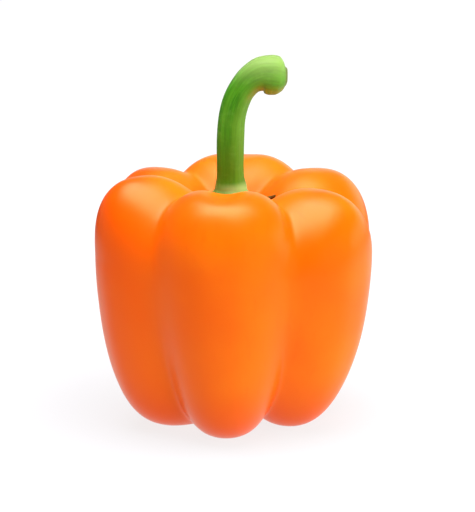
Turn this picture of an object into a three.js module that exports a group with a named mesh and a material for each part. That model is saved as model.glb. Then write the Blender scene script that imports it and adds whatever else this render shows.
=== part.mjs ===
// An orange bell pepper standing on its feet: a fruit of six lobes with its green calyx and bent stem.
// Millimetres, +Z up. The origin is on the surface that it stands on, under the middle of the fruit.
// The front of the fruit faces -Y, and azimuths are counted in degrees from the front towards +X.
import * as THREE from 'three';
import { mergeVertices } from 'three/addons/utils/BufferGeometryUtils.js';

// The six lobes of the fruit.
//   turn               azimuth of the lobe
//   reach, deep, wide  furthest point from the axis, radial half depth and half width, at the widest level
//   crown, crownAt     height of the shoulder and its distance from the axis
//   footAt             distance of the foot from the axis
//   draw, dome         share of the width that is lost at the foot and at the crown
//   dip                depth of the furrow along the middle of the crown
//   footCurve, crownCurve   higher is squarer
const LOBES = [
  { turn: -5.6, reach: 45.0, deep: 20.5, wide: 22.5, crown: 82.4, crownAt: 26.0,
    footAt: 18.8, draw: 0.25, dome: -0.11, dip: 2.7, footCurve: 3.15, crownCurve: 2.25 },
  { turn: 61, reach: 47.4, deep: 22.0, wide: 22.5, crown: 79.2, crownAt: 28.2,
    footAt: 19.6, draw: 0.25, dome: 0.46, dip: 0.4, footCurve: 2.5, crownCurve: 2.4 },
  { turn: 115, reach: 47.2, deep: 21.0, wide: 21.5, crown: 80.6, crownAt: 27.5,
    footAt: 20.0, draw: 0.30, dome: 0.36, dip: 0.6, footCurve: 2.3, crownCurve: 2.45 },
  { turn: 175, reach: 45.0, deep: 20.5, wide: 24.5, crown: 82.8, crownAt: 26.0,
    footAt: 20.0, draw: 0.30, dome: -0.06, dip: 1.6, footCurve: 2.4, crownCurve: 2.3 },
  { turn: 234, reach: 46.0, deep: 21.0, wide: 21.5, crown: 79.8, crownAt: 29.0,
    footAt: 20.0, draw: 0.34, dome: 0.38, dip: 0.6, footCurve: 2.4, crownCurve: 2.3 },
  { turn: 292, reach: 45.8, deep: 22.0, wide: 22.0, crown: 82.9, crownAt: 29.3,
    footAt: 19.0, draw: 0.16, dome: 0.48, dip: 0.3, footCurve: 3.0, crownCurve: 2.3 },
];
const WIDEST_Z = 56; // level at which every lobe is widest
const FLOOR_Z = 0; // the surface that the fruit stands on
const FOOT_Z = -0.5; // the lobes round off towards this level, so the surface cuts a small flat on each foot
const DIP_WIDTH = 6.5; // half width of the furrow on a crown
const DIP_FADE = { from: 27, to: 41 }; // distances from the axis between which the furrow runs out
const FOOT_BEND = 1.5; // how late a lobe's middle moves in towards its foot or crown
const DRAW_BEND = 1.2;
const DOME_BEND = 1.7;
const HOLLOW = 0.22; // share of the depth that a lobe loses at its crown, on the side of the stem

// The middle of the fruit, which joins the lobes and carries the stem.
const CORE = { radius: 20, top: 71.5, bottom: 9, curve: 3 };

// How softly neighbouring lobes run into each other: soft at the waist, sharp at crown and feet.
const SOFT = { waist: 2.0, ends: 0.6, waistZ: 46, span: 20 };
const MM_PER_UNIT = 18; // turns a lobe's relative measure into about a millimetre

// The grid of the skin.
const MIDDLE_Z = 44; // the skin is measured along rays from this point on the axis
const COLUMNS_PER_LOBE = 14;
const SKIN_ROWS = 46;
const OUTER_RADIUS = 72; // every ray starts outside the skin and ends inside it
const INNER_RADIUS = 24;
const ABOVE_CROWN = 84; // the skin of the crown lies between these levels
const BELOW_CROWN = 66;
const RAY_STEPS = 24;
const HALVINGS = 24;

// The calyx, a cap of six blunt teeth that lies in the hollow of the crown. One tooth is longer.
const CALYX = { x: -0.8, radius: 10.2, tooth: 1.6, thick: 1.0, hump: 1.5, gap: 0.35 };
const TEETH = 6;
const LONG_TOOTH = { turn: 68, reach: 3.4, width: 12 };

// The stem: the points of its middle line, in the plane of its bend, and its radius at each.
const STEM = [
  { x: -0.8, z: 76.4, radius: 5.15 },
  { x: -0.95, z: 80.0, radius: 4.5 },
  { x: -1.0, z: 85.0, radius: 4.45 },
  { x: -0.9, z: 92.2, radius: 4.5 },
  { x: -0.4, z: 99.0, radius: 4.4 },
  { x: 0.9, z: 104.1, radius: 4.4 },
  { x: 2.9, z: 108.1, radius: 4.4 },
  { x: 5.7, z: 111.2, radius: 4.8 },
  { x: 9.0, z: 112.7, radius: 5.7 },
  { x: 12.2, z: 112.5, radius: 6.45 },
  { x: 14.3, z: 112.05, radius: 6.1 },
  { x: 15.75, z: 111.85, radius: 4.85 },
  { x: 16.85, z: 111.8, radius: 3.1 },
];
const STEM_RIBS = { count: 5, height: 0.16, turn: 20 };
const STEM_SWING = 8; // degrees that the end of the stem turns away from the front
const CUT_HOLLOW = 0.4; // depth of the shrunken middle of the cut end
const FLARE_BEND = 1.5; // how late the calyx turns up into the stem
const STEM_COLUMNS = 44;
const STEM_RINGS = 26;
const CALYX_RINGS = 6;
const CUT_RINGS = 3;

const { clamp, degToRad, lerp, smoothstep } = THREE.MathUtils;

// How far inside (below 0) or outside (above 0) of one lobe a point is, in about a millimetre.
// A lobe is a superellipsoid whose cross-section is an ellipse. Its middle line moves in or out and its
// width narrows from the widest level to the foot and to the crown.
function lobeDistance(lobe, x, y, z) {
  const turn = degToRad(lobe.turn);
  const outward = x * Math.sin(turn) - y * Math.cos(turn);
  const sideways = x * Math.cos(turn) + y * Math.sin(turn);
  const furrow = lobe.dip * (1 - smoothstep(outward, DIP_FADE.from, DIP_FADE.to));
  const crown = lobe.crown - furrow * Math.exp(-((sideways / DIP_WIDTH) ** 2));
  const low = Math.max(0, (WIDEST_Z - z) / (WIDEST_Z - FOOT_Z));
  const high = Math.max(0, (z - WIDEST_Z) / (crown - WIDEST_Z));
  const lowShare = Math.min(low, 1);
  const highShare = Math.min(high, 1);
  const middle = lobe.reach - lobe.deep;
  const centre = middle
    + (lobe.footAt - middle) * lowShare ** FOOT_BEND
    + (lobe.crownAt - middle) * highShare ** FOOT_BEND;
  const width = lobe.wide * (1 - lobe.draw * lowShare ** DRAW_BEND - lobe.dome * highShare ** DOME_BEND);
  const depth = outward < centre ? lobe.deep * (1 - HOLLOW * highShare ** 2) : lobe.deep;
  const across = Math.hypot((outward - centre) / depth, sideways / width);
  const curve = z < WIDEST_Z ? lobe.footCurve : lobe.crownCurve;
  const size = (across ** curve + (low + high) ** curve) ** (1 / curve);
  return (size - 1) * MM_PER_UNIT;
}

function coreDistance(x, y, z) {
  const middle = (CORE.top + CORE.bottom) / 2;
  const half = (CORE.top - CORE.bottom) / 2;
  const across = Math.hypot(x, y) / CORE.radius;
  const along = Math.abs(z - middle) / half;
  return ((across ** CORE.curve + along ** CORE.curve) ** (1 / CORE.curve) - 1) * MM_PER_UNIT;
}

// The smallest of all the distances, rounded where two of them are nearly alike, so that the
// creases between lobes are valleys with a soft bottom.
function skinDistance(x, y, z) {
  const all = LOBES.map((lobe) => lobeDistance(lobe, x, y, z));
  all.push(coreDistance(x, y, z));
  const least = Math.min(...all);
  const soft = lerp(SOFT.ends, SOFT.waist, Math.exp(-(((z - SOFT.waistZ) / SOFT.span) ** 2)));
  const sum = all.reduce((total, one) => total + Math.exp((least - one) / soft), 0);
  return least - soft * Math.log(sum);
}

// The distance along a line at which it first meets the skin: steps in from the start until a point is
// inside, then halves that step. place(t) gives the point at distance t.
function meetSkin(place, start, end, steps) {
  let outside = start;
  let inside = end;
  for (let k = 1; k <= steps; k += 1) {
    const t = lerp(start, end, k / steps);
    if (skinDistance(...place(t)) < 0) {
      inside = t;
      break;
    }
    outside = t;
  }
  for (let k = 0; k < HALVINGS; k += 1) {
    const t = (outside + inside) / 2;
    if (skinDistance(...place(t)) < 0) inside = t;
    else outside = t;
  }
  return (outside + inside) / 2;
}

// The height of the skin over a point of the crown.
function crownHeight(x, y) {
  return meetSkin((z) => [x, y, z], ABOVE_CROWN, BELOW_CROWN, RAY_STEPS);
}

// The azimuth of each crease, half way between its two lobes.
const CREASES = LOBES.map((lobe, k) => {
  const next = LOBES[(k + 1) % LOBES.length];
  const nextTurn = k + 1 < LOBES.length ? next.turn : next.turn + 360;
  return (lobe.turn + nextTurn) / 2;
});

// Spreads the columns of the grid so that every lobe has the same number and one runs along each crease.
function azimuthOf(share) {
  const place = share * LOBES.length;
  const k = Math.min(Math.floor(place), LOBES.length - 1);
  const from = k === 0 ? CREASES[LOBES.length - 1] - 360 : CREASES[k - 1];
  return degToRad(lerp(from, CREASES[k], place - k));
}

// A sphere's grid, each of whose points is moved to where place(column share, row share) puts it.
// The rows run from one pole to the other, and the grid closes on itself round the poles.
function closedSurface(columns, rows, place) {
  const geometry = new THREE.SphereGeometry(1, columns, rows);
  const position = geometry.getAttribute('position');
  const perRow = columns + 1;
  for (let i = 0; i < position.count; i += 1) {
    const column = i % perRow;
    const row = Math.floor(i / perRow);
    const atPole = row === 0 || row === rows;
    const around = atPole ? 0 : (column % columns) / columns;
    position.setXYZ(i, ...place(around, row / rows));
  }
  geometry.deleteAttribute('normal');
  geometry.deleteAttribute('uv');
  return mergeVertices(geometry, 1e-4);
}

// The skin of the fruit: every ray from the middle ends on it, or on the level of the feet.
function fruitGeometry() {
  return closedSurface(COLUMNS_PER_LOBE * LOBES.length, SKIN_ROWS, (around, down) => {
    const azimuth = azimuthOf(around);
    const polar = Math.PI * down;
    const dx = Math.sin(polar) * Math.sin(azimuth);
    const dy = -Math.sin(polar) * Math.cos(azimuth);
    const dz = Math.cos(polar);
    const onRay = (t) => [dx * t, dy * t, MIDDLE_Z + dz * t];
    const skin = meetSkin(onRay, OUTER_RADIUS, INNER_RADIUS, RAY_STEPS);
    const toFloor = dz < 0 ? (FLOOR_Z - MIDDLE_Z) / dz : Infinity;
    return onRay(Math.min(skin, toFloor));
  });
}

// Distance of the calyx's edge from its middle: six blunt teeth, evenly spaced, one of them drawn out.
function calyxEdge(azimuth) {
  const past = azimuth - degToRad(LONG_TOOTH.turn);
  const wave = Math.abs(Math.cos((TEETH / 2) * past));
  const off = Math.atan2(Math.sin(past), Math.cos(past)) / degToRad(LONG_TOOTH.width);
  return CALYX.radius + CALYX.tooth * wave ** 1.6 + LONG_TOOTH.reach * Math.exp(-(off ** 2));
}

// A point of the calyx at a share of the way from its middle to its edge, raised to a height above the
// skin of the crown.
function calyxPoint(azimuth, share, raise) {
  const distance = calyxEdge(azimuth) * share;
  const x = CALYX.x + distance * Math.sin(azimuth);
  const y = -distance * Math.cos(azimuth);
  return [x, y, crownHeight(x, y) + CALYX.gap + raise];
}

const STEM_LINE = new THREE.CatmullRomCurve3(
  STEM.map((point) => new THREE.Vector3(point.x, 0, point.z)), false, 'centripetal');
const STEM_RADII = new THREE.SplineCurve(STEM.map((point, k) => new THREE.Vector2(k, point.radius)));

// A point on the side of the stem. share runs from 0 at the calyx to 1 at the cut end. inset below 1 draws
// the point in to the middle line, and sink moves it along that line, back into the stem.
function stemPoint(azimuth, share, inset = 1, sink = 0) {
  const middle = STEM_LINE.getPoint(share);
  const along = STEM_LINE.getTangent(share);
  const rib = STEM_RIBS.height * Math.cos(STEM_RIBS.count * (azimuth - degToRad(STEM_RIBS.turn)));
  const radius = (STEM_RADII.getPoint(share).y + rib) * inset;
  const right = radius * Math.sin(azimuth);
  const x = middle.x + along.z * right - along.x * sink;
  const y = -radius * Math.cos(azimuth);
  const z = middle.z - along.x * right - along.z * sink;
  const swing = degToRad(STEM_SWING) * clamp(share, 0, 1) ** 2;
  return [x * Math.cos(swing) - y * Math.sin(swing), x * Math.sin(swing) + y * Math.cos(swing), z];
}

// The calyx and the stem as one skin. Its rings go out under the calyx, round its edge, back in over its
// top, up the stem and over the cut end.
function stemAndCalyxGeometry() {
  const rings = [];
  const blend = (from, to, share) => from.map((value, k) => lerp(value, to[k], share));
  for (let k = 0; k <= CALYX_RINGS; k += 1) {
    rings.push((azimuth) => calyxPoint(azimuth, k / CALYX_RINGS, 0));
  }
  rings.push((azimuth) => calyxPoint(azimuth, 1.02, CALYX.thick / 2));
  for (let k = CALYX_RINGS; k > CALYX_RINGS / 2; k -= 1) {
    const share = k / CALYX_RINGS;
    const raise = CALYX.thick + CALYX.hump * (1 - share);
    rings.push((azimuth) => {
      const cap = calyxPoint(azimuth, share - 0.03, raise);
      const flare = 2 * (1 - share);
      return blend(cap, stemPoint(azimuth, 0), flare ** FLARE_BEND);
    });
  }
  for (let k = 0; k <= STEM_RINGS; k += 1) {
    rings.push((azimuth) => stemPoint(azimuth, k / STEM_RINGS));
  }
  for (let k = 1; k <= CUT_RINGS; k += 1) {
    const inset = 1 - k / CUT_RINGS;
    rings.push((azimuth) => stemPoint(azimuth, 1, inset, CUT_HOLLOW * (1 - inset ** 2)));
  }
  const last = rings.length - 1;
  return closedSurface(STEM_COLUMNS, last, (around, along) => {
    const ring = rings[Math.round(along * last)];
    return ring(-2 * Math.PI * around); // backwards, because these rings start from below
  });
}

function skinMaterial() {
  return new THREE.MeshStandardMaterial({ color: 0xf96a08, roughness: 0.28, metalness: 0 });
}

function stemMaterial() {
  return new THREE.MeshStandardMaterial({ color: 0x5d952a, roughness: 0.5, metalness: 0 });
}

function piece(name, geometry, material) {
  const mesh = new THREE.Mesh(geometry, material);
  mesh.name = name;
  return mesh;
}

const pepper = new THREE.Group();
pepper.add(piece('fruit', fruitGeometry(), skinMaterial()));
pepper.add(piece('stem_and_calyx', stemAndCalyxGeometry(), stemMaterial()));

export default pepper;
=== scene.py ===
"""An orange bell pepper on a white floor, lit as in a bright studio.

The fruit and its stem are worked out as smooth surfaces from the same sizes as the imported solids. Their
sizes are in millimetres until a mesh is made, and azimuths in degrees from the front (-Y) towards +X. The
patterns of the finishes, the floor and the lamps are in metres.
"""
import math

import bpy
import numpy as np
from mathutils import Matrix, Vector


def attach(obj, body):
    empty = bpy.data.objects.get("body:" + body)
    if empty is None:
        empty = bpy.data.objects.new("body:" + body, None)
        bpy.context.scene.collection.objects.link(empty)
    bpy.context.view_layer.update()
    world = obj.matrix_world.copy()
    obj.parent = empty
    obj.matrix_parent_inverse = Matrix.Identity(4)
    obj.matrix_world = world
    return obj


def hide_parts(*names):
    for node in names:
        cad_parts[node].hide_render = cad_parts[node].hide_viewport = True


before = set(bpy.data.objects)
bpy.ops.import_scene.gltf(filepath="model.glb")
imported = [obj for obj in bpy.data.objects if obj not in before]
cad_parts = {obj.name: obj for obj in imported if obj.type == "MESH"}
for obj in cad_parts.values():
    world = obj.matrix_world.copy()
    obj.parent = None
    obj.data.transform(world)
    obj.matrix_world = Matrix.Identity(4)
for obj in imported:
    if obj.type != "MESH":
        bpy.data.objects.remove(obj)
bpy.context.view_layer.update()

MM = 0.001

# The fruit
# Each lobe: azimuth, furthest reach, radial half depth, half width, crown height, crown's and foot's distance
# from the axis, width lost at the foot and at the crown, furrow on the crown, squareness of foot and crown.
LOBE_WORDS = ("turn", "reach", "deep", "wide", "crown", "crown_at", "foot_at",
              "draw", "dome", "dip", "foot_curve", "crown_curve")
LOBES = [dict(zip(LOBE_WORDS, sizes)) for sizes in (
    (-5.6, 45.0, 20.5, 22.5, 82.4, 26.0, 18.8, 0.25, -0.11, 2.7, 3.15, 2.25),
    (61, 47.4, 22.0, 22.5, 79.2, 28.2, 19.6, 0.25, 0.46, 0.4, 2.5, 2.4),
    (115, 47.2, 21.0, 21.5, 80.6, 27.5, 20.0, 0.30, 0.36, 0.6, 2.3, 2.45),
    (175, 45.0, 20.5, 24.5, 82.8, 26.0, 20.0, 0.30, -0.06, 1.6, 2.4, 2.3),
    (234, 46.0, 21.0, 21.5, 79.8, 29.0, 20.0, 0.34, 0.38, 0.6, 2.4, 2.3),
    (292, 45.8, 22.0, 22.0, 82.9, 29.3, 19.0, 0.16, 0.48, 0.3, 3.0, 2.3),
)]
FLOOR_Z = 0.0
FOOT_Z = -0.5
WIDEST_Z = 56.0
DIP_WIDTH, DIP_FADE_FROM, DIP_FADE_TO = 6.5, 27.0, 41.0
FOOT_BEND, DRAW_BEND, DOME_BEND = 1.5, 1.2, 1.7
HOLLOW = 0.22
CORE_RADIUS, CORE_TOP, CORE_BOTTOM, CORE_CURVE = 20.0, 71.5, 9.0, 3
SOFT_WAIST, SOFT_ENDS, SOFT_WAIST_Z, SOFT_SPAN = 2.0, 0.6, 46.0, 20.0
MM_PER_UNIT = 18.0
MIDDLE_Z = 44.0
RAY_START, RAY_END = 72, 24
CROWN_START_Z, CROWN_END_Z = 84, 66
LEAST_FALL = 0.01  # the floor doesn't stop rays that fall less than this share of their length
INSET = 0.12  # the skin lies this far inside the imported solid's, so that no bump stands out of its box
SKIN_COLUMNS, SKIN_ROWS = 432, 220
CREASE_SOFT = 1.6

# The relief of the skin
SWELLS = (  # height, how many waves, shortest and longest wave, seed
    (0.30, 9, 24, 42, 4),
    (0.03, 12, 7, 13, 9))
FLUTES = (  # height, how many round the fruit, share of their bend, phase
    (0.06, 17, 1, 0),
    (0.03, 29, -1, 1.3))
FLUTE_BEND, FLUTE_BEND_Z = 0.35, 17.0
FLUTES_START_Z, FLUTES_FULL_Z, FLUTES_FADE_Z, FLUTES_END_Z = 6, 24, 70, 80
DENTS, DENT_SEED = 10, 21
DENT_LEVELS, DENT_SIZES, DENT_DEPTHS = (12, 68), (5.0, 9.0), (0.03, 0.10)
DENTS_FROM_AXIS, DENT_WIDTH_TO_HEIGHT = 42, 0.7
RELIEF_SUNK, RELIEF_SOFT = 0.30, 0.05

# The calyx
CALYX_X, CALYX_RADIUS, CALYX_TOOTH, TEETH, TOOTH_BLUNT = -0.8, 10.2, 1.6, 6, 1.6
CALYX_THICK, CALYX_HUMP, CALYX_GAP, CALYX_INSET = 1.0, 1.5, 0.2, 0.3
LONG_TOOTH_TURN, LONG_TOOTH_REACH, LONG_TOOTH_WIDTH = 68.0, 3.4, 12.0
UNEVEN_EDGE = (  # height, how many round the calyx, no bend, phase
    (0.15, 2, 0, 1),
    (0.11, 11, 0, 0),
    (0.06, 23, 0, 2))
EDGE_ROUND = 0.035
VEIN_HEIGHT, VEIN_WIDTH, VEIN_START = 0.16, 0.22, 0.12
CAP_DRAWN_IN, CAP_DRAWN_BY = 0.03, 0.1
UNDER_START, FLARE_START = 0.12, 0.5
FLARE_BEND = 1.5
TIP_SHARPNESS, TIP_START = 6, 0.86
UNDER_RINGS, EDGE_RINGS, CAP_RINGS = 10, 9, 44

# The stem
STEM = np.array([  # x, z and radius along the middle line
    (-0.8, 76.4, 5.15), (-0.95, 80.0, 4.5), (-1.0, 85.0, 4.45), (-0.9, 92.2, 4.5),
    (-0.4, 99.0, 4.4), (0.9, 104.1, 4.4), (2.9, 108.1, 4.4), (5.7, 111.2, 4.8),
    (9.0, 112.7, 5.7), (12.2, 112.5, 6.45), (14.3, 112.05, 6.1), (15.75, 111.85, 4.85),
    (16.85, 111.8, 3.1)])
STEM_RIBS, STEM_RIB_HEIGHT, STEM_RIB_TURN = 5, 0.16, 20.0
RIB_DRIFT = (  # height, radians along the stem, no bend, phase
    (0.5, 5, 0, 0),
    (0.3, 11, 0, 1))
FINE_RIBS = (  # height, how many round the stem, share of their drift, phase
    (0.012, 19, 1, 0),
    (0.007, 33, -2, 2))
FINE_RIBS_SUNK, FINE_RIBS_FULL = 0.05, 0.08
STEM_SWING = 8.0
STEM_INSET = 0.07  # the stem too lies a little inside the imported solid's
SLOPE_STEP = 1e-3
STEM_COLUMNS, STEM_RINGS = 240, 130

# The cut end of the stem
RIM_START, RIM_FULL = 0.91, 0.99
RIM_INWARD, RIM_OUTWARD, RIM_SUNK, RIM_CUT_SHARE, RIM_RINGS = 0.09, 0.35, 0.12, 0.3, 7
FACE_START, FACE_END, FACE_RINGS = 0.88, 0.05, 26
FACE_RIM = 0.72
CUT_HOLLOW, CUT_HOLLOW_WIDE, CUT_RAISED = 0.4, 0.5, 0.2
ROUGH_HEIGHT, ROUGH_ROUND, ROUGH_INWARD, ROUGH_FADE, ROUGH_FULL = 0.10, 7, 9, 0.1, 0.5

# The floor and the sheet that is mirrored
FLOOR_SIZE = 8.0
# The floor's glow is dimmed round this middle, a painted shadow.
SHADE_MIDDLE, SHADE_NEAR, SHADE_FAR = (-0.015, 0.015, 0.0), 0.035, 0.10
SHEEN_PLACE, SHEEN_SIZE, SHEEN_NEAR, SHEEN_FAR = (0.10, 0.09, -0.0005), 0.5, 0.16, 0.42

# The lamps
LAMPS_AIM = (0, 0, 0.05)
WHITE, BLUISH, ROSY = (1.0, 1.0, 1.0), (1.0, 1.0, 1.5), (1.0, 0.92, 0.94)
LAMPS = {  # place, width, height, power in watts, tint, and whether the skin mirrors the lamp
    "overhead": ((-0.03, -0.06, 0.62), 0.44, 0.34, 2.0, BLUISH, True),
    "overhead_edge": ((-0.03, -0.06, 0.63), 0.74, 0.54, 2.9, WHITE, True),
    "top_fill": ((0.05, 0.05, 0.75), 0.9, 0.7, 4.0, WHITE, False),
    "right_panel": ((0.92, 0.20, 0.16), 0.6, 0.34, 7.5, WHITE, False),
    "left_panel": ((-0.80, 0.45, 0.18), 0.4, 0.4, 0.6, ROSY, False),
    "back_panel": ((0.45, 1.0, 0.26), 1.6, 0.5, 1.9, WHITE, True),
    "front_fill": ((0.85, -0.75, 0.24), 1.0, 0.8, 8.6, WHITE, False),
    "left_fill": ((-0.60, -0.85, 0.20), 0.8, 0.6, 1.2, WHITE, False),
}
SURROUNDINGS, SURROUNDINGS_STRENGTH = (1.0, 0.99, 0.98), 0.12

# The camera: the photograph's angle of view, its distance and what its middle looks at
CAMERA_ELEVATION = 14.0
CAMERA_DISTANCE = 750.0
CAMERA_AIM = (1.45, 0.0, 53.7)
PIXELS_PER_MM = 3.11
IMAGE_HEIGHT = 512
SENSOR = 36.0
CLIP_START, CLIP_END = 0.01, 100.0


def smooth(value, low, high):
    """0 below low, 1 above high, and an S-shaped step between them."""
    share = np.clip((value - low) / (high - low), 0, 1)
    return share * share * (3 - 2 * share)


def ripples(rows, along, bend=0):
    """The sum of sine waves along a line or round a ring. Each row gives a height, the waves in a turn of
    2 pi, how much of the bend it takes, and a phase."""
    return sum(height * np.sin(count * along + share * bend + phase)
               for height, count, share, phase in rows)


def waves(x, y, z, count, short, long, seed):
    """A gentle random relief between -1 and 1: the mean of plane waves in random directions."""
    draw = np.random.default_rng(seed)
    total = 0.0
    for _ in range(count):
        way = draw.normal(size=3)
        way /= np.linalg.norm(way)
        length = draw.uniform(short, long)
        phase = draw.uniform(0, 2 * math.pi)
        ahead = way[0] * x + way[1] * y + way[2] * z
        total = total + np.sin(ahead * 2 * math.pi / length + phase)
    return total / count


def lobe_distance(lobe, x, y, z):
    """How far outside of one lobe a point is. The lobe is a superellipsoid of elliptical section. Its middle
    line moves in or out, and its width narrows, from the widest level to the foot and to the crown."""
    turn = math.radians(lobe["turn"])
    outward = x * math.sin(turn) - y * math.cos(turn)
    sideways = x * math.cos(turn) + y * math.sin(turn)
    furrow = lobe["dip"] * (1 - smooth(outward, DIP_FADE_FROM, DIP_FADE_TO))
    crown = lobe["crown"] - furrow * np.exp(-(sideways / DIP_WIDTH) ** 2)
    low = np.maximum((WIDEST_Z - z) / (WIDEST_Z - FOOT_Z), 0)
    high = np.maximum((z - WIDEST_Z) / (crown - WIDEST_Z), 0)
    low_share, high_share = np.minimum(low, 1), np.minimum(high, 1)
    middle = lobe["reach"] - lobe["deep"]
    centre = (middle + (lobe["foot_at"] - middle) * low_share ** FOOT_BEND
              + (lobe["crown_at"] - middle) * high_share ** FOOT_BEND)
    narrowing = lobe["draw"] * low_share ** DRAW_BEND
    width = lobe["wide"] * (1 - narrowing - lobe["dome"] * high_share ** DOME_BEND)
    depth = lobe["deep"] * np.where(outward < centre, 1 - HOLLOW * high_share ** 2, 1)
    across = np.hypot((outward - centre) / depth, sideways / width)
    curve = np.where(z < WIDEST_Z, lobe["foot_curve"], lobe["crown_curve"])
    return ((across ** curve + (low + high) ** curve) ** (1 / curve) - 1) * MM_PER_UNIT


def core_distance(x, y, z):
    """The same for the middle of the fruit, one superellipsoid on the axis."""
    middle, half = (CORE_TOP + CORE_BOTTOM) / 2, (CORE_TOP - CORE_BOTTOM) / 2
    across, along = np.hypot(x, y) / CORE_RADIUS, np.abs(z - middle) / half
    return ((across ** CORE_CURVE + along ** CORE_CURVE) ** (1 / CORE_CURVE) - 1) * MM_PER_UNIT


def skin_distance(x, y, z):
    """The least of all the distances, minus softness times the logarithm of the sum of exp(-difference /
    softness), which rounds the valleys where two lobes meet."""
    parts = np.stack([lobe_distance(lobe, x, y, z) for lobe in LOBES] + [core_distance(x, y, z)])
    least = parts.min(0)
    soft = SOFT_ENDS + (SOFT_WAIST - SOFT_ENDS) * np.exp(-((z - SOFT_WAIST_Z) / SOFT_SPAN) ** 2)
    return least - soft * np.log(np.exp((least - parts) / soft).sum(0)) + INSET


def meet_skin(place, start, end, shape, steps=30, halvings=16):
    """The distance along each line at which it first meets the skin: steps in from start to end until it is
    inside, then halves that step. place(t) gives x, y and z at the distances t."""
    outside, inside = np.full(shape, float(start)), np.full(shape, float(end))
    found = np.zeros(shape, bool)
    for t in np.linspace(start, end, steps + 1)[1:]:
        now = skin_distance(*place(np.full(shape, t))) < 0
        inside = np.where(now & ~found, t, inside)
        found |= now
        outside = np.where(found, outside, t)
    for _ in range(halvings):
        t = (outside + inside) / 2
        now = skin_distance(*place(t)) < 0
        inside, outside = np.where(now, t, inside), np.where(now, outside, t)
    return (outside + inside) / 2


def crown_height(x, y):
    """The height of the skin over points of the crown."""
    return meet_skin(lambda z: (x, y, z), CROWN_START_Z, CROWN_END_Z, np.shape(x))


def closed_mesh(name, first, grid, last):
    """A mesh of rings of points, each closed on itself, with a point before the first ring and one after the
    last. Each ring runs anticlockwise seen from the side of the first point."""
    rings, columns = grid.shape[:2]
    points = np.concatenate([[first], grid.reshape(-1, 3), [last]])
    here = np.arange(columns)
    beside = (here + 1) % columns
    row = 1 + columns * np.arange(rings - 1)[:, None]
    next_row = row + columns
    quads = np.stack([row + here, next_row + here, next_row + beside, row + beside], -1).reshape(-1, 4)
    final = 1 + columns * (rings - 1)
    start_fan = np.stack([np.zeros(columns, int), 1 + here, 1 + beside], -1)
    end_fan = np.stack([np.full(columns, len(points) - 1), final + beside, final + here], -1)
    mesh = bpy.data.meshes.new(name)
    faces = start_fan.tolist() + quads.tolist() + end_fan.tolist()
    mesh.from_pydata((points * MM).tolist(), [], faces)
    mesh.shade_smooth()
    piece = bpy.data.objects.new(name, mesh)
    bpy.context.scene.collection.objects.link(piece)
    return piece


def keep_numbers(piece, name, values):
    """Stores one number for each point of a piece, for its material to read."""
    attribute = piece.data.attributes.new(name, "FLOAT", "POINT")
    attribute.data.foreach_set("value", np.asarray(values, np.float32).ravel())


def keep_vectors(piece, name, values):
    """Stores one vector for each point of a piece, for its material to read."""
    attribute = piece.data.attributes.new(name, "FLOAT_VECTOR", "POINT")
    attribute.data.foreach_set("vector", np.asarray(values, np.float32).ravel())


def flesh_dents(azimuth, z):
    """The depth of a few dents, a little taller than wide, each a bell curve round the dent's middle."""
    draw = np.random.default_rng(DENT_SEED)
    dents = 0.0
    for _ in range(DENTS):
        at = draw.uniform(-math.pi, math.pi)
        level = draw.uniform(*DENT_LEVELS)
        size = draw.uniform(*DENT_SIZES)
        depth = draw.uniform(*DENT_DEPTHS)
        apart = np.angle(np.exp(1j * (azimuth - at))) * DENTS_FROM_AXIS
        above = DENT_WIDTH_TO_HEIGHT * (z - level)
        dents = dents + depth * np.exp(-(apart ** 2 + above ** 2) / size ** 2)
    return dents


def flesh_relief(x, y, z):
    """How far each point of the skin is moved outward, which is never above 0: minus softness times the
    logarithm of 1 + exp(below / softness), minus the dents. below is how far shallow swells, and flutes that
    run down each lobe, leave the skin under the even one."""
    azimuth = np.arctan2(x, -y)
    swell = sum(height * waves(x, y, z, *kind) for height, *kind in SWELLS)
    flutes = ripples(FLUTES, azimuth, FLUTE_BEND * np.sin(z / FLUTE_BEND_Z))
    flutes = flutes * smooth(z, FLUTES_START_Z, FLUTES_FULL_Z)
    flutes = flutes * (1 - smooth(z, FLUTES_FADE_Z, FLUTES_END_Z))
    below = RELIEF_SUNK - swell - flutes
    return -RELIEF_SOFT * np.logaddexp(0, below / RELIEF_SOFT) - flesh_dents(azimuth, z)


def make_fruit():
    """Rays from the middle of the fruit, a ring of them for each step from pole to pole, end on the skin, are
    drawn in by the relief, and stop at the floor."""
    azimuth = np.linspace(0, 2 * math.pi, SKIN_COLUMNS, endpoint=False)
    polar = np.linspace(0, math.pi, SKIN_ROWS + 1)[1:-1, None]
    dx, dy = np.sin(polar) * np.sin(azimuth), -np.sin(polar) * np.cos(azimuth)
    dz = np.cos(polar) + 0 * azimuth

    def on_ray(t):
        return dx * t, dy * t, MIDDLE_Z + dz * t
    skin = meet_skin(on_ray, RAY_START, RAY_END, dx.shape)
    skin = skin + flesh_relief(*on_ray(skin))
    falls = dz < -LEAST_FALL
    to_floor = np.where(falls, (FLOOR_Z - MIDDLE_Z) / np.minimum(dz, -LEAST_FALL), np.inf)
    grid = np.stack(on_ray(np.minimum(skin, to_floor)), -1)
    top = np.array([0, 0, grid[0, :, 2].mean()])
    bottom = np.array([0, 0, grid[-1, :, 2].mean()])
    piece = closed_mesh("fruit_skin", top, grid, bottom)
    x, y, z = np.concatenate([[top], grid.reshape(-1, 3), [bottom]]).T
    near = np.sort(np.stack([lobe_distance(lobe, x, y, z) for lobe in LOBES]), axis=0)
    # How near each point is to a crease between two lobes, where the skin's material paints shade
    keep_numbers(piece, "crease", np.exp(-(near[1] - near[0]) / CREASE_SOFT))
    return piece


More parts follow.
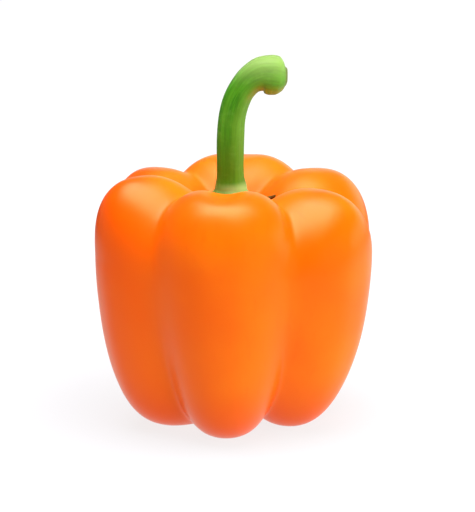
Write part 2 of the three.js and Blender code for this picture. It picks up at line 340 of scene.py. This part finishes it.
def stem_line(share):
    """The middle line and radius of the stem: a centripetal Catmull-Rom curve for the line and a plain one
    for the radius, through the points of STEM. share runs from 0 at the calyx to 1 at the cut end."""
    spans = len(STEM) - 1
    ends = np.concatenate([[2 * STEM[0] - STEM[1]], STEM, [2 * STEM[-1] - STEM[-2]]])
    ends[0, 2], ends[-1, 2] = STEM[0, 2], STEM[-1, 2]
    place = np.clip(np.asarray(share, float), 0, 1) * spans
    k = np.minimum(place.astype(int), spans - 1)
    t = (place - k)[..., None]
    p0, p1, p2, p3 = (ends[k + step] for step in range(4))

    def gap(a, b):
        return np.hypot(*(b - a)[..., :2].T).T[..., None] ** 0.5
    g0, g1, g2 = gap(p0, p1), gap(p1, p2), gap(p2, p3)
    leave = ((p1 - p0) / g0 - (p2 - p0) / (g0 + g1) + (p2 - p1) / g1) * g1
    arrive = ((p2 - p1) / g1 - (p3 - p1) / (g1 + g2) + (p3 - p2) / g2) * g1
    plain_leave, plain_arrive = (p2 - p0) / 2, (p3 - p1) / 2
    leave[..., 2], arrive[..., 2] = plain_leave[..., 2], plain_arrive[..., 2]
    found = (p1 + leave * t + (3 * (p2 - p1) - 2 * leave - arrive) * t ** 2
             + (2 * (p1 - p2) + leave + arrive) * t ** 3)
    return found[..., 0], found[..., 1], found[..., 2]


def stem_ribs(azimuth, share):
    """Height of the ribs that run up the stem: five broad ones, and fine ones that fade at the calyx."""
    broad = STEM_RIB_HEIGHT * np.cos(STEM_RIBS * (azimuth - math.radians(STEM_RIB_TURN)))
    fine = ripples(FINE_RIBS, azimuth, ripples(RIB_DRIFT, share))
    return broad - STEM_INSET + (fine - FINE_RIBS_SUNK) * smooth(share, 0, FINE_RIBS_FULL)


def stem_point(azimuth, share, inset=1.0, sink=0.0):
    """A point on the side of the stem: the middle line plus the ribbed radius, square to the line, with the
    upper end swung away from the front. inset draws it to the middle and sink back into the stem."""
    x0, z0, radius = stem_line(share)
    ahead = stem_line(np.minimum(share + SLOPE_STEP, 1))
    behind = stem_line(np.maximum(share - SLOPE_STEP, 0))
    along_x, along_z = ahead[0] - behind[0], ahead[1] - behind[1]
    length = np.hypot(along_x, along_z)
    along_x, along_z = along_x / length, along_z / length
    radius = (radius + stem_ribs(azimuth, share)) * inset
    right = radius * np.sin(azimuth)
    x = x0 + along_z * right - along_x * sink
    y = -radius * np.cos(azimuth)
    z = z0 - along_x * right - along_z * sink
    swing = math.radians(STEM_SWING) * share ** 2
    turned_x = x * np.cos(swing) - y * np.sin(swing)
    turned_y = x * np.sin(swing) + y * np.cos(swing)
    return np.stack([turned_x, turned_y, z], -1)


def calyx_edge(azimuth):
    """Distance of the calyx's edge from its middle: six blunt teeth of uneven length, one drawn out."""
    past = azimuth - math.radians(LONG_TOOTH_TURN)
    teeth = CALYX_TOOTH * np.abs(np.cos(TEETH / 2 * past)) ** TOOTH_BLUNT
    off = np.angle(np.exp(1j * past)) / math.radians(LONG_TOOTH_WIDTH)
    long_tooth = LONG_TOOTH_REACH * np.exp(-off ** 2)
    return CALYX_RADIUS + teeth + long_tooth + ripples(UNEVEN_EDGE, azimuth) - CALYX_INSET


def calyx_point(azimuth, share, lift):
    """A point at a share of the way from the middle of the calyx to its edge, lifted over the skin."""
    distance = calyx_edge(azimuth) * share
    x, y = CALYX_X + distance * np.sin(azimuth), -distance * np.cos(azimuth)
    return np.stack([x, y, crown_height(x, y) + CALYX_GAP + lift], -1)


def calyx_rings(azimuth):
    """Out under the calyx, half a circle round its edge, and back in over its top, which rises with a hump
    and with a vein for each tooth, and turns up into the stem. Each ring comes with how far along it is, from
    -1 under the calyx through 0 to 1 at the cut, and with how much it belongs to the calyx's tips, to the cut
    and to the rim of the cut. So do the rings of the next two functions."""
    for share in np.linspace(UNDER_START, 1, UNDER_RINGS):
        yield calyx_point(azimuth, share, 0), -1, share ** TIP_SHARPNESS, 0, 0
    for turn in np.linspace(0, math.pi, EDGE_RINGS)[1:-1]:
        lift = CALYX_THICK * (1 - math.cos(turn)) / 2
        yield calyx_point(azimuth, 1 + EDGE_ROUND * math.sin(turn), lift), -1, 1, 0, 0
    past = TEETH / 2 * (azimuth - math.radians(LONG_TOOTH_TURN))
    veins = VEIN_HEIGHT * np.exp(-(np.sin(past) / VEIN_WIDTH) ** 2)
    for share in np.linspace(1, FLARE_START, CAP_RINGS, endpoint=False):
        inward = 1 - share
        lift = CALYX_THICK + CALYX_HUMP * inward + veins * smooth(inward, 0, VEIN_START)
        cap = calyx_point(azimuth, share - CAP_DRAWN_IN * smooth(inward, 0, CAP_DRAWN_BY), lift)
        blend = (inward / (1 - FLARE_START)) ** FLARE_BEND
        ring = cap * (1 - blend) + stem_point(azimuth, 0 * azimuth) * blend
        yield ring, (FLARE_START - share) / (1 - FLARE_START), smooth(share, TIP_START, 1), 0, 0


def stalk_rings(azimuth):
    """Up the stem, and a quarter of a circle over the rim of its cut end."""
    for share in np.linspace(0, 1, STEM_RINGS):
        yield stem_point(azimuth, share + 0 * azimuth), share, 0, 0, smooth(share, RIM_START, RIM_FULL)
    end = 1 + 0 * azimuth
    for turn in np.linspace(0, math.pi / 2, RIM_RINGS)[1:]:
        inset = 1 - RIM_INWARD * (1 - math.cos(turn))
        sink = RIM_SUNK - RIM_OUTWARD * math.sin(turn)
        yield stem_point(azimuth, end, inset, sink), 1, 0, RIM_CUT_SHARE, 1


def face_rings(azimuth):
    """In over the rough face of the cut, whose middle has shrunk."""
    end = 1 + 0 * azimuth
    for inset in np.linspace(FACE_START, FACE_END, FACE_RINGS):
        rough = ROUGH_HEIGHT * np.sin(ROUGH_ROUND * azimuth + ROUGH_INWARD * inset)
        rough = rough * smooth(inset, ROUGH_FADE, ROUGH_FULL)
        sink = CUT_HOLLOW * smooth(1 - inset, 0, CUT_HOLLOW_WIDE) - CUT_RAISED + rough
        yield stem_point(azimuth, end, inset, sink), 1, 0, 1, smooth(inset, FACE_RIM, FACE_START)


def make_stem():
    """One closed skin of rings, from under the calyx to the middle of the cut. Its flow holds the cosine and
    sine of the azimuth and the way along, so that a pattern on it runs lengthwise and has no seam."""
    azimuth = -np.linspace(0, 2 * math.pi, STEM_COLUMNS, endpoint=False)
    rings, *kinds = zip(*calyx_rings(azimuth), *stalk_rings(azimuth), *face_rings(azimuth))
    grid = np.stack(rings)
    piece = closed_mesh("stem_with_calyx", grid[0].mean(0), grid, grid[-1].mean(0))
    around = np.broadcast_to(azimuth, grid.shape[:2])
    along, tip, cut, rim = (np.array(kind, float)[:, None] + 0 * around for kind in kinds)
    flow = np.stack([np.cos(around), np.sin(around), along], -1).reshape(-1, 3)
    keep_vectors(piece, "flow", np.concatenate([flow[:1], flow, flow[-1:]]))
    for word, kind in (("tip", tip), ("cut", cut), ("rim", rim)):
        values = kind.ravel()
        keep_numbers(piece, word, np.concatenate([values[:1], values, values[-1:]]))
    from_middle = np.hypot(*(grid - grid.mean(1, keepdims=True))[..., :2].reshape(-1, 2).T)
    keep_numbers(piece, "ring", np.concatenate([[0], from_middle, [0]]))
    return piece


class Value:
    """A number, vector or colour that varies over a surface. Arithmetic on numbers adds Math nodes."""

    def __init__(self, finish, socket):
        self.finish, self.socket = finish, socket

    def math(self, operation, first, second):
        return self.finish.node("ShaderNodeMath", {"operation": operation}, {0: first, 1: second})

    def __add__(self, other):
        return self.math("ADD", self, other)

    def __sub__(self, other):
        return self.math("SUBTRACT", self, other)

    def __rsub__(self, other):
        return self.math("SUBTRACT", other, self)

    def __mul__(self, other):
        return self.math("MULTIPLY", self, other)

    __radd__, __rmul__ = __add__, __mul__


class Finish:
    """A material in the making, around one Principled shader."""

    def __init__(self, name, constants):
        self.material = bpy.data.materials.new(name)
        self.material.use_nodes = True
        self.tree = self.material.node_tree
        self.shader = next(n for n in self.tree.nodes if n.type == "BSDF_PRINCIPLED")
        for socket, value in constants.items():
            self.shader.inputs[socket].default_value = value

    def node(self, kind, settings=None, sockets=None, out=0):
        """Adds a node: its settings are set first, then each socket gets its value or link. Returns one of
        its outputs."""
        made = self.tree.nodes.new(kind)
        for word, value in (settings or {}).items():
            setattr(made, word, value)
        for key, value in (sockets or {}).items():
            if isinstance(value, Value):
                self.tree.links.new(value.socket, made.inputs[key])
            elif value is not None:
                made.inputs[key].default_value = value
        return Value(self, made.outputs[out])

    def place(self):
        return self.node("ShaderNodeTexCoord", out="Object")

    def stored(self, name, out="Fac"):
        return self.node("ShaderNodeAttribute", {"attribute_name": name}, out=out)

    def vector(self, operation, first, second=None, out=0):
        return self.node("ShaderNodeVectorMath", {"operation": operation}, {0: first, 1: second}, out)

    def scaled(self, vector, scale):
        return self.vector("MULTIPLY", vector, scale)

    def length(self, vector):
        return self.vector("LENGTH", vector, out="Value")

    def axis(self, vector, word):
        """One of the three numbers of a vector, X, Y or Z."""
        return self.node("ShaderNodeSeparateXYZ", None, {0: vector}, out=word)

    def noise(self, vector, scale, detail, rough=0.5):
        return self.node("ShaderNodeTexNoise", None,
                         {"Vector": vector, "Scale": scale, "Detail": detail, "Roughness": rough})

    def step(self, value, low, high, to_low=0.0, to_high=1.0):
        """value from low to high as an S-shaped step from to_low to to_high."""
        return self.node("ShaderNodeMapRange", {"interpolation_type": "SMOOTHSTEP"}, {
            "Value": value, "From Min": low, "From Max": high, "To Min": to_low, "To Max": to_high})

    def mix(self, share, first, second):
        """A colour between two."""
        return self.node("ShaderNodeMix", {"data_type": "RGBA"}, {0: share, 6: first, 7: second}, out=2)

    def layers(self, base, rows):
        """The base with colours laid over it in turn, each by its own share."""
        for share, over in rows:
            base = self.mix(share, base, over)
        return base

    def bump(self, height, distance, strength, normal=None):
        return self.node("ShaderNodeBump", None,
                         {"Height": height, "Distance": distance, "Strength": strength, "Normal": normal})

    def connect(self, socket, value):
        self.tree.links.new(value.socket, self.shader.inputs[socket])


def colour(red, green, blue):
    """An opaque colour, as a colour socket takes it."""
    return (red, green, blue, 1.0)


# The skin's colours and how its gloss is tinted, and where the colours change: heights from the floor,
# distances from the axis, and places from left to right
ORANGE, LIGHT_ORANGE = colour(0.90, 0.121, 0.0), colour(0.955, 0.150, 0.0)
YELLOW_PATCH, RED_STREAK = colour(0.97, 0.20, 0.0), colour(0.87, 0.105, 0.0)
# In the creases the deeper colour is painted shade.
CREASE_PAINTED_SHADE, LEFT_RED_AND_SHADE = colour(0.90, 0.12, 0.0), colour(0.93, 0.088, 0.0)
FOOT_PAINTED_SHADE, CROWN_PAINTED_LIGHT = colour(0.81, 0.060, 0.0), colour(0.97, 0.185, 0.0)
SKIN_GLOSS = colour(1.0, 0.84, 0.28)
# At the feet, by the floor, the darker redder colour is painted shade.
FOOT_SHADE_TOP = 0.024
# Round the stem the brighter, yellower colour is painted light.
CROWN_LOW, CROWN_HIGH, CROWN_FULL, CROWN_WIDE = 0.066, 0.076, 0.022, 0.034
# On the left the redder colour is partly the skin's own and partly painted shade of its dimmer side.
LEFT_SHADE_FULL, LEFT_SHADE_END, LEFT_SHADE_RAGGED = -0.038, 0.006, 0.03

# The skin's patterns: each one's scale and detail, for the streaks their roughness too, and for the bumps
# how high and how strong they are. The streaks change this slowly along the fruit.
SKIN_CLOUDS, SKIN_PATCHES, SKIN_STREAKS = (26.0, 2.0), (60.0, 0.0), (22.0, 4.0, 0.6)
STREAKS_ALONG = (0, 0, 9)
GRAIN, GRAIN_BUMP = (900.0, 2.0), (0.00003, 0.35)
PEEL, PEEL_BUMP = (190.0, 2.0), (0.00005, 0.3)


def skin_finish():
    """Waxy orange skin: redder and yellower clouds, streaks that run from stem to foot, painted shade in the
    creases and at the feet, a redder colour on the left that is partly the skin's own and partly painted
    shade, painted light round the stem in a yellower colour, and a gloss that varies."""
    skin = Finish("skin_finish", {
        "Subsurface Weight": 0.12, "Subsurface Radius": (1.0, 0.35, 0.05), "Subsurface Scale": 0.003,
        "Specular IOR Level": 0.5, "Specular Tint": SKIN_GLOSS, "IOR": 1.5})
    place = skin.place()
    across, height, level = skin.axis(place, "X"), skin.axis(place, "Z"), skin.scaled(place, (1, 1, 0))
    clouds = skin.noise(place, *SKIN_CLOUDS)
    patches = skin.noise(place, *SKIN_PATCHES)
    around = skin.vector("NORMALIZE", level)
    streaks = skin.noise(skin.vector("ADD", around, skin.scaled(place, STREAKS_ALONG)), *SKIN_STREAKS)
    near_axis = skin.step(skin.length(level), CROWN_FULL, CROWN_WIDE, 1.0, 0.0)
    hollow = skin.step(height, CROWN_LOW, CROWN_HIGH) * near_axis
    left_shade_from = across + (clouds - 0.5) * LEFT_SHADE_RAGGED
    base = skin.mix(skin.step(clouds, 0.35, 0.68), ORANGE, LIGHT_ORANGE)
    skin.connect("Base Color", skin.layers(base, (
        (skin.step(patches, 0.45, 0.85, 0.0, 0.25), YELLOW_PATCH),
        (skin.step(streaks, 0.5, 0.78, 0.0, 0.24), RED_STREAK),
        # Painted shade in the creases
        (skin.step(skin.stored("crease"), 0.35, 1.0, 0.0, 0.45), CREASE_PAINTED_SHADE),
        # A redder left side, partly the skin's own tone and partly painted shade
        (skin.step(left_shade_from, LEFT_SHADE_FULL, LEFT_SHADE_END, 0.75, 0.0), LEFT_RED_AND_SHADE),
        # Painted shade at the feet
        (skin.step(height, FLOOR_Z, FOOT_SHADE_TOP, 0.9, 0.0), FOOT_PAINTED_SHADE),
        # Painted light round the stem
        (hollow * 0.8, CROWN_PAINTED_LIGHT))))
    skin.connect("Roughness", skin.step(patches, 0.3, 0.75, 0.285, 0.33) + hollow * 0.10)
    grain = skin.bump(skin.noise(place, *GRAIN), *GRAIN_BUMP)
    skin.connect("Normal", skin.bump(skin.noise(place, *PEEL), *PEEL_BUMP, grain))
    return skin.material


# The stem's colours and how its gloss is tinted, and where the colours change: heights from the floor, ways
# along the stem, which are below 0 on the calyx, and the pith's radius in millimetres
DARK_FIBRE, BRIGHT_FIBRE = colour(0.034, 0.178, 0.004), colour(0.070, 0.295, 0.008)
BROAD_STREAK, PALE_CLOUD = colour(0.100, 0.300, 0.012), colour(0.12, 0.34, 0.02)
SPECK, BEND_TOP_HIGHLIGHT = colour(0.22, 0.44, 0.08), colour(0.34, 0.46, 0.12)
# On the right the lighter, yellower colour is painted light.
RIGHT_SIDE_LIGHT, UNDER_BEND_TONE_AND_SHADE = colour(0.17, 0.27, 0.035), colour(0.22, 0.22, 0.02)
LOWER_GREEN, FLARE_HIGHLIGHT = colour(0.072, 0.160, 0.004), colour(0.36, 0.50, 0.14)
CALYX_GREEN, DRY_TIP = colour(0.08, 0.19, 0.01), colour(0.16, 0.075, 0.015)
WOOD, PALE_WOOD = colour(0.36, 0.42, 0.12), colour(0.50, 0.50, 0.20)
PITH_BROWN, CUT_RIM = colour(0.30, 0.24, 0.09), colour(0.12, 0.15, 0.03)
STEM_GLOSS = colour(0.9, 1.0, 0.5)
# Over the top of the bend the paler colour is a painted highlight.
TOP_LOW, TOP_HIGH = 0.108, 0.119
# Under the bend the browner colour is partly the stem's own tone and partly painted shade.
UNDER_LOW, UNDER_HIGH = 0.103, 0.108
LOWER_LOW, LOWER_HIGH = 0.078, 0.098
# At the flare the paler colour is a painted highlight, strongest on the right.
FLARE_FROM, FLARE_FULL, FLARE_UP_TO = -0.45, -0.05, 0.06
CALYX_ALONG, CALYX_UP_TO = -1.1, -0.6
PITH_RADIUS, PITH_EDGE = 0.8, 2.2

# The stem's patterns: each one's scale, detail and roughness, how fast it changes round and along the stem,
# and how high and how strong its bumps are
FIBRES, FIBRES_DRAWN = (9.0, 4.0, 0.6), (1, 1, 0.9)
BROAD_STREAKS, BROAD_DRAWN = (2.2, 2.0), (1, 1, 1.6)
LINES, LINES_DRAWN, LINES_BUMP = (18.0, 3.0), (1, 1, 0.5), (0.00006, 0.35)
STEM_CLOUDS, STEM_SPECKS = (160.0, 3.0), (520.0, 2.0)
STEM_GRAIN, STEM_GRAIN_BUMP = (1400.0, 2.0), (0.00004, 0.5)


def stem_finish():
    """Green stem: lengthwise streaks, a painted highlight at the flare and over the bend, painted light on
    its right, a browner tone with painted shade under the bend, brown and dry at the calyx's tips, with a
    dark rim and a brown pith at the cut."""
    stem = Finish("stem_finish", {
        "Subsurface Weight": 0.08, "Subsurface Radius": (0.5, 1.0, 0.2), "Subsurface Scale": 0.0015,
        "Specular IOR Level": 0.25, "Specular Tint": STEM_GLOSS})
    place, flow = stem.place(), stem.stored("flow", out="Vector")
    height, to_right, along = stem.axis(place, "Z"), stem.axis(flow, "Y"), stem.axis(flow, "Z")
    fibres = stem.noise(stem.scaled(flow, FIBRES_DRAWN), *FIBRES)
    broad = stem.noise(stem.scaled(flow, BROAD_DRAWN), *BROAD_STREAKS)
    clouds = stem.noise(place, *STEM_CLOUDS)
    specks = stem.noise(place, *STEM_SPECKS)
    below = stem.step(to_right, 0.35, 0.9) * stem.step(height, UNDER_LOW, UNDER_HIGH)
    flare = stem.step(along, FLARE_FROM, FLARE_FULL) * (1 - stem.step(along, 0.0, FLARE_UP_TO))
    dry = stem.stored("tip") * stem.step(clouds, 0.3, 0.7, 0.75, 1.0)
    wood = stem.mix(stem.step(clouds, 0.35, 0.7), WOOD, PALE_WOOD)
    pith = stem.step(stem.stored("ring"), PITH_RADIUS, PITH_EDGE, 0.75, 0.0)
    base = stem.mix(stem.step(fibres, 0.34, 0.72), DARK_FIBRE, BRIGHT_FIBRE)
    stem.connect("Base Color", stem.layers(base, (
        (stem.step(broad, 0.42, 0.70, 0.0, 0.4), BROAD_STREAK),
        (stem.step(clouds, 0.5, 0.75, 0.0, 0.3), PALE_CLOUD),
        # A painted highlight over the top of the bend
        (stem.step(height, TOP_LOW, TOP_HIGH, 0.0, 0.62), BEND_TOP_HIGHLIGHT),
        # Painted light on the right side
        (stem.step(to_right, -0.2, 0.8) * 0.4, RIGHT_SIDE_LIGHT),
        # Under the bend: the stem's browner tone with painted shade
        (below * 0.7, UNDER_BEND_TONE_AND_SHADE),
        (stem.step(height, LOWER_LOW, LOWER_HIGH, 0.55, 0.0), LOWER_GREEN),
        (stem.step(specks, 0.50, 0.80, 0.0, 0.15), SPECK),
        # A painted highlight at the flare, strongest on the right
        (flare * stem.step(to_right, -0.8, 0.2, 0.45, 1.0) * 0.85, FLARE_HIGHLIGHT),
        (stem.step(along, CALYX_ALONG, CALYX_UP_TO, 0.5, 0.0), CALYX_GREEN),
        (dry, DRY_TIP),
        (stem.stored("cut"), stem.mix(pith, wood, PITH_BROWN)),
        (stem.stored("rim") * 0.85, CUT_RIM))))
    stem.connect("Roughness", stem.step(fibres, 0.3, 0.7, 0.42, 0.56) + dry * 0.25)
    lines = stem.bump(stem.noise(stem.scaled(flow, LINES_DRAWN), *LINES), *LINES_BUMP)
    stem.connect("Normal", stem.bump(stem.noise(place, *STEM_GRAIN), *STEM_GRAIN_BUMP, lines))
    return stem.material


# The colours of the staging
FLOOR_BASE, BLACK = colour(0.10, 0.10, 0.10), colour(0.0, 0.0, 0.0)
FLOOR_SHADE, FLOOR_GLOW = colour(0.83, 0.82, 0.82), colour(0.95, 0.95, 0.95)
SHEEN_GLOW = colour(0.85, 0.85, 0.85)


def floor_finish():
    """A plain white floor that glows, so that it stays white far from the lamps, and glows a little less
    close to the fruit: a painted shadow where its own shadow falls."""
    floor = Finish("floor_finish", {
        "Base Color": FLOOR_BASE, "Roughness": 0.9, "Specular IOR Level": 0.0, "Emission Strength": 1.0})
    away = floor.length(floor.vector("SUBTRACT", floor.place(), SHADE_MIDDLE))
    glow = floor.step(away, SHADE_NEAR, SHADE_FAR)
    floor.connect("Emission Color", floor.mix(glow, FLOOR_SHADE, FLOOR_GLOW))
    return floor.material


def sheen_finish():
    """The pale patch that the skin mirrors: brightest in its middle, fading away from it."""
    sheen = Finish("sheen_finish", {"Base Color": BLACK, "Specular IOR Level": 0.0, "Emission Strength": 1.0})
    fade = sheen.step(sheen.length(sheen.place()), SHEEN_NEAR, SHEEN_FAR)
    sheen.connect("Emission Color", sheen.mix(fade, SHEEN_GLOW, BLACK))
    return sheen.material


def dress(piece, finish, node):
    """Gives a piece its finish, rides it on the part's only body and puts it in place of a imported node."""
    piece.data.materials.append(finish)
    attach(piece, "root")
    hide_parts(node)


def level_square(name, place, size, finish):
    """A square sheet that lies level, size from its middle to each side."""
    mesh = bpy.data.meshes.new(name)
    corners = [(-size, -size, 0), (size, -size, 0), (size, size, 0), (-size, size, 0)]
    mesh.from_pydata(corners, [], [(0, 1, 2, 3)])
    mesh.materials.append(finish)
    sheet = bpy.data.objects.new(name, mesh)
    sheet.location = place
    bpy.context.scene.collection.objects.link(sheet)
    return sheet


def make_floor():
    """The floor that is seen and lights the fruit, and just below it the sheet that is mirrored instead."""
    floor = level_square("floor", (0, 0, 0), FLOOR_SIZE, floor_finish())
    floor.visible_glossy = False
    sheen = level_square("sheen", SHEEN_PLACE, SHEEN_SIZE, sheen_finish())
    sheen.visible_camera = sheen.visible_diffuse = sheen.visible_shadow = False


def softbox(name, place, width, height, power, tint, mirrored):
    """A rectangular lamp at a place, turned to the fruit. One that isn't mirrored only fills in light."""
    lamp = bpy.data.lights.new(name, "AREA")
    lamp.shape, lamp.size, lamp.size_y = "RECTANGLE", width, height
    lamp.energy, lamp.color = power, tint
    holder = bpy.data.objects.new(name, lamp)
    holder.location = place
    holder.rotation_euler = (Vector(LAMPS_AIM) - Vector(place)).to_track_quat("-Z", "Y").to_euler()
    holder.visible_glossy = mirrored
    bpy.context.scene.collection.objects.link(holder)


def light_the_studio():
    """A softbox overhead with a fainter edge and a wide one far behind are mirrored in the skin. The other
    lamps fill in light from above, from both sides and from the front, and the surroundings a little from
    all round."""
    for name, row in LAMPS.items():
        softbox(name, *row)
    world = bpy.data.worlds.new("studio")
    world.use_nodes = True
    background = next(n for n in world.node_tree.nodes if n.type == "BACKGROUND")
    background.inputs["Color"].default_value = colour(*SURROUNDINGS)
    background.inputs["Strength"].default_value = SURROUNDINGS_STRENGTH
    bpy.context.scene.world = world


def set_the_camera():
    """The camera stands in front, as far above the horizon as the photograph's, and looks at its aim."""
    lens = bpy.data.cameras.new("camera")
    lens.sensor_width = SENSOR
    lens.lens = PIXELS_PER_MM * CAMERA_DISTANCE * SENSOR / IMAGE_HEIGHT
    lens.clip_start, lens.clip_end = CLIP_START, CLIP_END
    camera = bpy.data.objects.new("camera", lens)
    rise = math.radians(CAMERA_ELEVATION)
    back = Vector((0, -math.cos(rise), math.sin(rise)))
    camera.location = (Vector(CAMERA_AIM) + back * CAMERA_DISTANCE) * MM
    camera.rotation_euler = (-back).to_track_quat("-Z", "Y").to_euler()
    bpy.context.scene.collection.objects.link(camera)
    bpy.context.scene.camera = camera


dress(make_fruit(), skin_finish(), "fruit")
dress(make_stem(), stem_finish(), "stem_and_calyx")
make_floor()
light_the_studio()
set_the_camera()
bpy.context.scene.view_settings.view_transform = "Standard"
